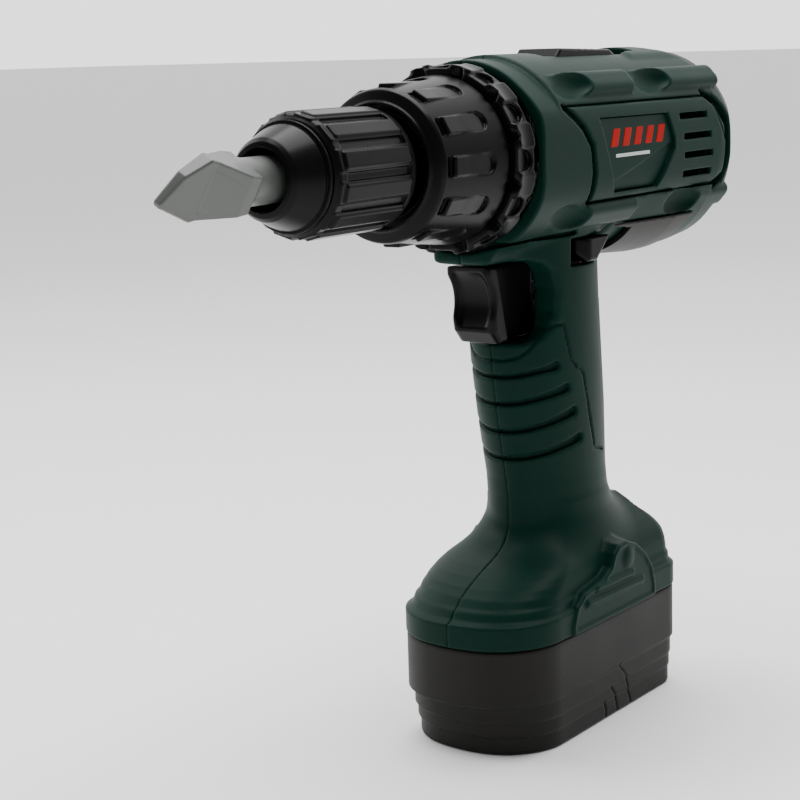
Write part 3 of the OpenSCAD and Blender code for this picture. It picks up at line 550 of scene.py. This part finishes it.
def pad(x, y, z):
    """Pad round the underside of the barrel; in front it lies only beside the handle."""
    r = radius(y, z, LOW_AXIS_Z) - along(x, BELLY_X, BELLY_RADII)
    d = blend_max(slab(r, -0.6, 0.9), slab(x, 13.2, 59.8), 0.8)
    d = blend_max(d, z - 152.2, 0.8)
    behind = (60 - x) * 0.9 + (z - 152) * 0.42
    d = blend_max(d, -behind, 0.8)
    beside_handle = np.maximum(d, 19.5 - np.abs(y))
    return np.where(x < 24.4, beside_handle, d)


# ------------------------------------------------------------------ chuck, collar and ring

NOSE = [(-128.6, 8.2), (-128.3, 9.6), (-127.2, 10.6), (-119.6, 13.55), (-118.9, 13.4), (-118.9, 14.5),
        (-117.9, 14.5), (-117.9, 6.5), (-120.6, 6.5), (-125.2, 6.9)]


def nose(x, y, z):
    return turned(x, radius(y, z), NOSE)


SLEEVE = [(-117.4, 12.0), (-117.4, 14.5), (-116.2, 15.7), (-113.6, 15.7), (-113.2, 15.2), (-86.4, 15.2),
          (-86.2, 16.1), (-84.0, 16.0), (-84.0, 9.6), (-117.0, 9.6)]


def sleeve(x, y, z):
    """Chuck sleeve with raised ribs, each on a lower and wider step."""
    r = radius(y, z)
    d = blend_max(turned(x, r, SLEEVE), 9.55 - r, 0.2)
    out, across = repeated(y, z, SECTORS, HALF_SECTOR)
    rib = blend_max(np.abs(across) - 2.35, out - 16.6, 0.7)
    rib = blend_max(rib, slab(x, -114.6, -86.2), 0.7)
    low_step = blend_max(np.abs(across) - 3.0, out - 15.95, 0.4)
    low_step = blend_max(low_step, slab(x, -116.4, -86.4), 0.5)
    d = blend_min(d, np.maximum(rib, 12 - out), 0.35)
    return blend_min(d, np.maximum(low_step, 12 - out), 0.3)


COLLAR = [(-80.2, 16.8), (-80.2, 17.4), (-79.4, 17.7), (-78.6, 20.5), (-77.6, 20.95), (-51.0, 23.75),
          (-50.3, 23.3), (-50.3, 17.4), (-77.8, 17.4), (-78.4, 16.8)]
TONGUE_HALF_W = 2.7
TONGUE_TOP = 22.15


def collar(x, y, z):
    """Torque collar with a tongue-shaped pad in each sector and notches in its rear edge."""
    r = radius(y, z)
    d = turned(x, r, COLLAR)
    out, across = repeated(y, z, SECTORS)
    end = np.hypot(np.maximum(x + 59.6, 0), across) - TONGUE_HALF_W
    outline = blend_max(end, -74.6 - x, 0.3)
    pocket = np.maximum(outline - 0.12, TONGUE_TOP - out)
    d = blend_max(d, -pocket, 0.25)
    tongue = blend_max(outline, out - TONGUE_TOP, 0.5)
    notch = block(x, across, out, (-76.6, -2.4, 20.4), (-74.2, 2.4, 30), 0.3)
    d = blend_max(d, -notch, 0.3)
    d = blend_min(d, np.maximum(tongue, 19 - out), 0.25)
    mid, side = repeated(y, z, SECTORS, HALF_SECTOR)
    diamond = np.abs(x + 50.0) * 0.8 + np.abs(side) * 0.6 - 1.3
    return blend_max(d, -np.maximum(diamond, 21.8 - mid), 0.3)


RING_MID_X = -45.6
RING = [(-77, 14.2), (-77, 17.2), (-76, 17.2), (-76, 16.9), (-49.9, 16.9), (-49.9, 25.2),
        (-49.4, 25.8), (-42.4, 26.4), (-41.5, 25.8), (-41.0, 23.7), (-36.5, 23.7), (-36.5, 19),
        (-40, 19), (-40, 8.0), (-48, 8.0), (-48, 14.2)]


def ring(x, y, z):
    """Castellated ring: a cut in line with each tongue of the collar, a raised block between two."""
    d = turned(x, radius(y, z), RING)
    out, across = repeated(y, z, SECTORS)
    end = np.hypot(np.maximum(x + 46.0, 0), across) - 2.8
    top = 25.6 - 0.13 * (x + 49.9)
    d = blend_max(d, -np.maximum(end, top - out), 0.3)
    mid, side = repeated(y, z, SECTORS, HALF_SECTOR)
    bulge = 26.5 + 0.035 * (x - RING_MID_X) ** 2 - 0.02 * side ** 2
    saddle = blend_max(np.abs(side) - 3.6, mid - bulge, 0.8)
    saddle = blend_max(saddle, slab(x, -49.4, -41.6), 0.8)
    d = blend_min(d, np.maximum(saddle, 20 - mid), 0.5)
    notch = np.abs(x + 50.0) * 0.8 + np.abs(side) * 0.6 - 1.4
    return blend_max(d, -np.maximum(notch, 22 - mid), 0.3)


# ------------------------------------------------------------------ bit

BIT_TURN = math.radians(-59)
BIT_PLAN = [(-165, 3.0), (-160.8, -3.4), (-160, -4.5), (-153, -8.8), (-141, -6.0), (-137, -5.4),
            (-137, 5.4), (-141, 6.0), (-153, 8.8), (-164.6, 4.2)]


def bit(x, y, z):
    """Spear-shaped blade that thins towards its point, round shank and square tail."""
    c, s = math.cos(BIT_TURN), math.sin(BIT_TURN)
    u = y * c + (z - AXIS_Z) * s
    v = np.abs((z - AXIS_Z) * c - y * s)
    wedge = (v - along(x, [-165, -151, -141], [1.3, 2.3, 6.3])) * 0.95
    outline = polygon(x, u, BIT_PLAN)
    head = blend_max(outline, wedge, 0.3)
    head = np.maximum(head, (outline + wedge) * 0.7 + 0.3)
    shank = blend_max(radius(y, z) - 6.1, slab(x, -152, -112.8), 0.6)
    shank = blend_max(shank, wedge, 0.3)
    d = blend_min(head, shank, 0.5)
    tail = block(x, y, z - AXIS_Z, (-113, -4, -4), (-96.8, 4, 4), 0.7)
    return blend_min(d, tail, 0.4)


# ------------------------------------------------------------------ controls

TRIGGER = [(-38, 144.1), (-38, 141.2), (-35, 124.6), (-31.6, 120.9), (-9, 120.9), (-9, 144.1)]


def trigger(x, y, z):
    """Trigger with a scooped front, narrower behind, bored for its spring."""
    d = polygon(x, z, TRIGGER)
    d = blend_max(d, 10.4 - np.hypot(x + 45.2, z - 133.4), 0.8)
    half_w = 7.5 - 2.6 * ease(x + (z - 132) * 0.25, -30.5, -28.5)
    d = blend_max(d, np.abs(y) - half_w, 2.2)
    scoop = np.hypot(x + 45.4, z - 132.8) - 12.4
    scoop = blend_max(scoop, np.abs(y) - 6.0, 2.4)
    scoop = blend_max(scoop, 123.8 - z, 1.5)
    d = blend_max(d, -scoop, 0.5)
    bore = np.maximum(np.hypot(y, z - 131) - 4, -21 - x)
    return blend_max(d, -bore, 0.2)


BUTTON = [(-4, 145), (-4, 149.4), (12.2, 149.4), (4.2, 142.3), (-1, 142.3)]


def button(x, y, z):
    """Cross bar with a wedge at each end and a shutter behind each wedge."""
    y = np.abs(y)
    bar = block(x, y, z, (-1, -1, 142.6), (6, 13.2, 147.2), 0.5)
    wedge = blend_max(polygon(x, z, BUTTON), slab(y, 12.8, 19.6), 1.2)
    slant = (y - 19.2) * 0.8 - (x + 1) * 0.6
    wedge = blend_max(wedge, slant, 0.8)
    shutter = blend_max(polygon(x, z, BUTTON_HOLE) + 0.4, slab(y, 11.4, 13), 0.3)
    return blend_min(np.minimum(bar, shutter), wedge, 0.3)


SLIDER = [(1.8, 201.3), (1.8, 203), (4.4, 205.4), (34, 204.6), (38.4, 202.4), (38.4, 201.3)]


def slider(x, y, z):
    """Top slider with cross grooves and a stem down to its switch."""
    y = np.abs(y)
    d = blend_max(polygon(x, z, SLIDER), y - 7.5, 0.8)
    groove = np.abs(np.mod(x - 12, 4) - 2) - 0.5
    groove = np.maximum(groove, slab(x, 12, 32))
    groove = np.maximum(groove, 204.9 - z)
    d = blend_max(d, -groove, 0.4)
    stem = block(x, y, z, (16, -1.5, 196.9), (22, 1.5, 201.6), 0.2)
    return np.minimum(d, stem)


# ------------------------------------------------------------------ battery pack

PACK_STEP_Z = [0, 5.3, 5.9, 9.7, 10.3, 15.1, 16.0, 34]
PACK_STEP_INSET = [1.6, 1.6, 1.2, 1.2, 0.8, 0.8, 0, 0]
PACK_STEP_BACK = [3.4, 3.4, 2.6, 2.6, 1.8, 1.8, 0, 0]
PACK_ARCS = [((5.4, 16), (10.5, 10.5), (14.8, 0)), ((1.4, 9.5), (4.6, 5.6), (6.4, 0)),
             ((-2.4, 6), (-1.3, 3.2), (-1.2, 0))]


def pack(x, y, z):
    """Battery case: stepped walls with curved lines on the sides, open for its door and cells."""
    y = np.abs(y)
    inset = along(z, PACK_STEP_Z, PACK_STEP_INSET)
    back = along(z, PACK_STEP_Z, PACK_STEP_BACK)
    walls = plan_slice(x, y, inset, back)
    d = blend_max(walls, slab(z, 0, 33), 1.0)
    for arc in PACK_ARCS:
        d = carve(d, np.maximum(polyline(x, z, arc) - 0.3, 20 - y), walls, 0.5, 0.2)
    hollow = np.maximum(plan_slice(x, y, 4.5, 0), 20.4 - z)
    d = np.maximum(d, -hollow)
    bay = block(x, y, z, (-23, -1, 1), (39, 21.9, 18.4), 0.3)
    d = np.maximum(d, -bay)
    opening = block(x, y, z, (-28.4, -1, -2), (40.9, 22.6, 2.3), 0.2)
    return np.maximum(d, -opening)


# ------------------------------------------------------------------ materials


def node_material(name, colour, rough, metal=0.0, grain=900.0, grain_depth=0.05, mottle=0.12,
                  worn=0.12, coat=0.0, shine=0.5):
    """Procedural finish: colour mottling, fine surface grain, uneven gloss and paler worn edges."""
    m = bpy.data.materials.new(name)
    m.use_nodes = True
    nt = m.node_tree
    link = nt.links.new
    shader = nt.nodes["Principled BSDF"]
    shader.inputs["Metallic"].default_value = metal
    shader.inputs["Coat Weight"].default_value = coat
    shader.inputs["Coat Roughness"].default_value = 0.15
    shader.inputs["Specular IOR Level"].default_value = shine
    place = nt.nodes.new("ShaderNodeTexCoord")

    def noise(scale, detail):
        n = nt.nodes.new("ShaderNodeTexNoise")
        n.inputs["Scale"].default_value = scale
        n.inputs["Detail"].default_value = detail
        link(place.outputs["Object"], n.inputs["Vector"])
        return n.outputs["Fac"]

    broad = noise(45.0, 3.0)
    fine = noise(grain, 2.0)
    ramp = nt.nodes.new("ShaderNodeValToRGB")
    dark = [c * (1 - mottle) for c in colour]
    pale = [c * (1 + mottle) for c in colour]
    ramp.color_ramp.elements[0].position = 0.3
    ramp.color_ramp.elements[0].color = (*dark, 1)
    ramp.color_ramp.elements[1].position = 0.7
    ramp.color_ramp.elements[1].color = (*pale, 1)
    link(broad, ramp.inputs["Fac"])
    shade = nt.nodes.new("ShaderNodeMix")
    shade.data_type = "RGBA"
    shade.inputs["B"].default_value = (*[min(1.0, c * 1.9 + 0.001) for c in colour], 1)
    link(ramp.outputs["Color"], shade.inputs["A"])
    edge = nt.nodes.new("ShaderNodeNewGeometry")
    wear = nt.nodes.new("ShaderNodeMapRange")
    wear.inputs["From Min"].default_value = 0.52
    wear.inputs["From Max"].default_value = 0.62
    wear.inputs["To Max"].default_value = worn
    link(edge.outputs["Pointiness"], wear.inputs["Value"])
    link(wear.outputs["Result"], shade.inputs["Factor"])
    link(shade.outputs["Result"], shader.inputs["Base Color"])
    gloss = nt.nodes.new("ShaderNodeMapRange")
    gloss.inputs["To Min"].default_value = rough * 0.85
    gloss.inputs["To Max"].default_value = min(1.0, rough * 1.18)
    link(broad, gloss.inputs["Value"])
    link(gloss.outputs["Result"], shader.inputs["Roughness"])
    bump = nt.nodes.new("ShaderNodeBump")
    bump.inputs["Strength"].default_value = grain_depth
    bump.inputs["Distance"].default_value = 0.0003
    link(fine, bump.inputs["Height"])
    link(bump.outputs["Normal"], shader.inputs["Normal"])
    return m


GREEN = (0.0010, 0.0165, 0.0110)
FINISH = {
    "green_plastic": node_material("green_plastic", GREEN, 0.45, grain=2600,
                                   grain_depth=0.1, shine=0.07),
    "black_plastic": node_material("black_plastic", (0.0022, 0.0021, 0.0020), 0.28, grain=1500,
                                   grain_depth=0.03, shine=0.1),
    "charcoal_plastic": node_material("charcoal_plastic", (0.0085, 0.0080, 0.0070), 0.52,
                                      grain=3000, grain_depth=0.2, shine=0.16),
    "pad_plastic": node_material("pad_plastic", (0.0080, 0.0072, 0.0064), 0.5, grain=2600,
                                 grain_depth=0.15, shine=0.16),
    "bit_plastic": node_material("bit_plastic", (0.075, 0.080, 0.075), 0.42, metal=0.15, grain=1800,
                                 grain_depth=0.06, coat=0.1),
    "label_print": node_material("label_print", GREEN, 0.45, grain=2600,
                                 grain_depth=0.08, shine=0.07),
    "gear_nylon": node_material("gear_nylon", (0.72, 0.70, 0.62), 0.45, grain_depth=0.08),
    "switch_plastic": node_material("switch_plastic", (0.012, 0.012, 0.012), 0.45, grain_depth=0.08),
    "screw_steel": node_material("screw_steel", (0.45, 0.45, 0.46), 0.3, metal=1.0),
    "spring_steel": node_material("spring_steel", (0.55, 0.55, 0.56), 0.28, metal=1.0),
    "shaft_steel": node_material("shaft_steel", (0.60, 0.60, 0.61), 0.25, metal=1.0),
    "can_steel": node_material("can_steel", (0.52, 0.52, 0.53), 0.32, metal=1.0),
    "contact_steel": node_material("contact_steel", (0.62, 0.61, 0.58), 0.25, metal=1.0),
    "bush_brass": node_material("bush_brass", (0.70, 0.52, 0.24), 0.3, metal=1.0),
    "magnet_ferrite": node_material("magnet_ferrite", (0.05, 0.05, 0.05), 0.7),
    "cell_sleeve": node_material("cell_sleeve", (0.04, 0.16, 0.11), 0.3, coat=0.3),
    "wire_sleeve": node_material("wire_sleeve", (0.12, 0.012, 0.012), 0.45),
}
RED_PRINT = node_material("red_print", (0.34, 0.006, 0.004), 0.5, grain_depth=0.04, shine=0.05)
PALE_PRINT = node_material("pale_print", (0.50, 0.54, 0.50), 0.45, grain_depth=0.04, shine=0.2)

slots = {row["node"]: row["material_slot"] for row in frame["record"]["subparts"]}
for node_name, obj in frame["nodes"].items():
    obj.data.materials.clear()
    obj.data.materials.append(FINISH[slots[node_name]])


# ------------------------------------------------------------------ pieces


def make(name, field, low, high, cell, body, replaced, mirror_y=False, finish=None):
    """A piece in the material slot of the first node that it replaces, unless a finish is given."""
    slot_name = slots[replaced[0]]
    return piece(name, field, low, high, cell, finish or FINISH[slot_name], body,
                 replaced, mirror_y)


ROOT = "drill_body"
SHELL_LOW, SHELL_HIGH = (-53, 0, 33), (92, 29, 206)
make("shell_left", housing_shell, SHELL_LOW, SHELL_HIGH, 0.62, ROOT, ["housing_left"], True)
make("shell_right", housing_shell_right, SHELL_LOW, SHELL_HIGH, 0.62, ROOT, ["housing_right"])
for tag, mirrored in (("left", True), ("right", False)):
    make("panel_" + tag, panel, (-26, 20, 159), (77, 29, 191), 0.4, ROOT,
         ["vent_panel_" + tag], mirrored)
    make("window_" + tag, label, (-9, 20, 161), (42, 29, 187), 0.4, ROOT, ["label_" + tag], mirrored)
    make("bars_" + tag, bars, (-2, 20, 175), (38, 29, 183), 0.25, ROOT, ["label_" + tag], mirrored,
         RED_PRINT)
    make("stripe_" + tag, stripe, (3, 22, 172), (26, 29, 175), 0.22, ROOT, ["label_" + tag],
         mirrored, PALE_PRINT)
make("soft_pad", pad, (12, -29, 138), (61, 29, 153), 0.45, ROOT, ["palm_pad"])
make("nose_cone", nose, (-129, -15, 160), (-117, 15, 191), 0.3, "spindle", ["chuck_nose"])
make("ribbed_sleeve", sleeve, (-118, -17, 158), (-83, 17, 193), 0.33, "spindle", ["chuck_sleeve"])
make("clutch_collar", collar, (-81, -25, 151), (-50, 25, 200), 0.38, "torque_collar",
     ["torque_collar"])
make("collar_ring", ring, (-78, -28, 148), (-36, 28, 203), 0.4, ROOT, ["gearbox_ring"])
make("spear_bit", bit, (-166, -10, 166), (-96, 10, 185), 0.33, "bit", ["bit"])
make("trigger_lever", trigger, (-39, -8, 120), (-8, 8, 145), 0.33, "trigger", ["trigger"])
make("push_button", button, (-9, -20, 141), (14, 20, 151), 0.33, "direction_button",
     ["direction_button"])
make("top_slider", slider, (-5, -8, 196), (39, 8, 206), 0.33, "speed_switch", ["speed_slider"])
make("pack_case", pack, (-53, -26, 0), (49, 26, 34), 0.55, ROOT, ["battery_case"])

# ------------------------------------------------------------------ camera, light and floor

CAMERA_PLACE = (-0.49294521, -0.30414575, 0.20683507)
CAMERA_PITCH = 10.49521
CAMERA_YAW = 35.87998
CAMERA_ROLL = -1.68763
LENS_MM = 85.5
SENSOR_MM = 36
LAMP_TARGET = (0, 0, 0.12)
BRIGHT_SIDE = (0.78, 0.56, 0.28)
WORLD_DIM = 0.3
WORLD_BRIGHT = 2.1
TOP_LAMP_WATTS = 15
SIDE_LAMP_WATTS = 4
FLOOR_HALF_SIZE = 30.0
FLOOR_GAP = 0.0002


def camera_turn():
    """Rotation of the camera from its yaw, pitch down and roll, in degrees."""
    yaw, pitch, roll = map(math.radians, (CAMERA_YAW, CAMERA_PITCH, CAMERA_ROLL))
    heading = Vector((math.cos(yaw), math.sin(yaw), 0))
    right = Vector((math.sin(yaw), -math.cos(yaw), 0))
    up = Vector((0, 0, 1))
    ahead = heading * math.cos(pitch) - up * math.sin(pitch)
    over = heading * math.sin(pitch) + up * math.cos(pitch)
    x_axis = right * math.cos(roll) + over * math.sin(roll)
    y_axis = over * math.cos(roll) - right * math.sin(roll)
    return Matrix((x_axis, y_axis, -ahead)).transposed()


def place_camera():
    data = bpy.data.cameras.new("camera")
    data.lens = LENS_MM
    data.sensor_width = SENSOR_MM
    cam = bpy.data.objects.new("camera", data)
    bpy.context.scene.collection.objects.link(cam)
    cam.matrix_world = Matrix.Translation(Vector(CAMERA_PLACE)) @ camera_turn().to_4x4()
    bpy.context.scene.camera = cam


def area_light(name, place, size, power):
    data = bpy.data.lights.new(name, "AREA")
    data.shape = "RECTANGLE"
    data.size, data.size_y = size
    data.energy = power
    lamp = bpy.data.objects.new(name, data)
    bpy.context.scene.collection.objects.link(lamp)
    lamp.location = place
    aim = Vector(LAMP_TARGET) - Vector(place)
    lamp.rotation_euler = aim.to_track_quat("-Z", "Y").to_euler()


def studio():
    """Pale floor, a world that is bright behind the drill and dimmer in front, and two soft lamps."""
    world = bpy.data.worlds.new("studio")
    bpy.context.scene.world = world
    world.use_nodes = True
    nt = world.node_tree
    sky = nt.nodes["Background"]
    sky.inputs["Color"].default_value = (1, 1, 1, 1)
    way = nt.nodes.new("ShaderNodeTexCoord")
    facing = nt.nodes.new("ShaderNodeVectorMath")
    facing.operation = "DOT_PRODUCT"
    facing.inputs[1].default_value = BRIGHT_SIDE
    level = nt.nodes.new("ShaderNodeMapRange")
    level.interpolation_type = "SMOOTHSTEP"
    level.inputs["From Min"].default_value = -0.1
    level.inputs["From Max"].default_value = 0.75
    level.inputs["To Min"].default_value = WORLD_DIM
    level.inputs["To Max"].default_value = WORLD_BRIGHT
    nt.links.new(way.outputs["Generated"], facing.inputs[0])
    nt.links.new(facing.outputs["Value"], level.inputs["Value"])
    nt.links.new(level.outputs["Result"], sky.inputs["Strength"])
    area_light("top", (0.05, 0.0, 1.0), (0.8, 0.8), TOP_LAMP_WATTS)
    area_light("side", (-0.3, 0.9, 0.7), (0.5, 0.5), SIDE_LAMP_WATTS)
    around = ((-1, -1), (1, -1), (1, 1), (-1, 1))
    corners = np.array([(FLOOR_HALF_SIZE * u, FLOOR_HALF_SIZE * v, -FLOOR_GAP) for u, v in around])
    floor = new_mesh("floor", corners, np.array([[0, 1, 2, 3]]))
    floor.data.materials.append(node_material("floor", (0.88, 0.88, 0.88), 0.7, mottle=0.005,
                                              grain_depth=0.01, worn=0.0))


place_camera()
studio()
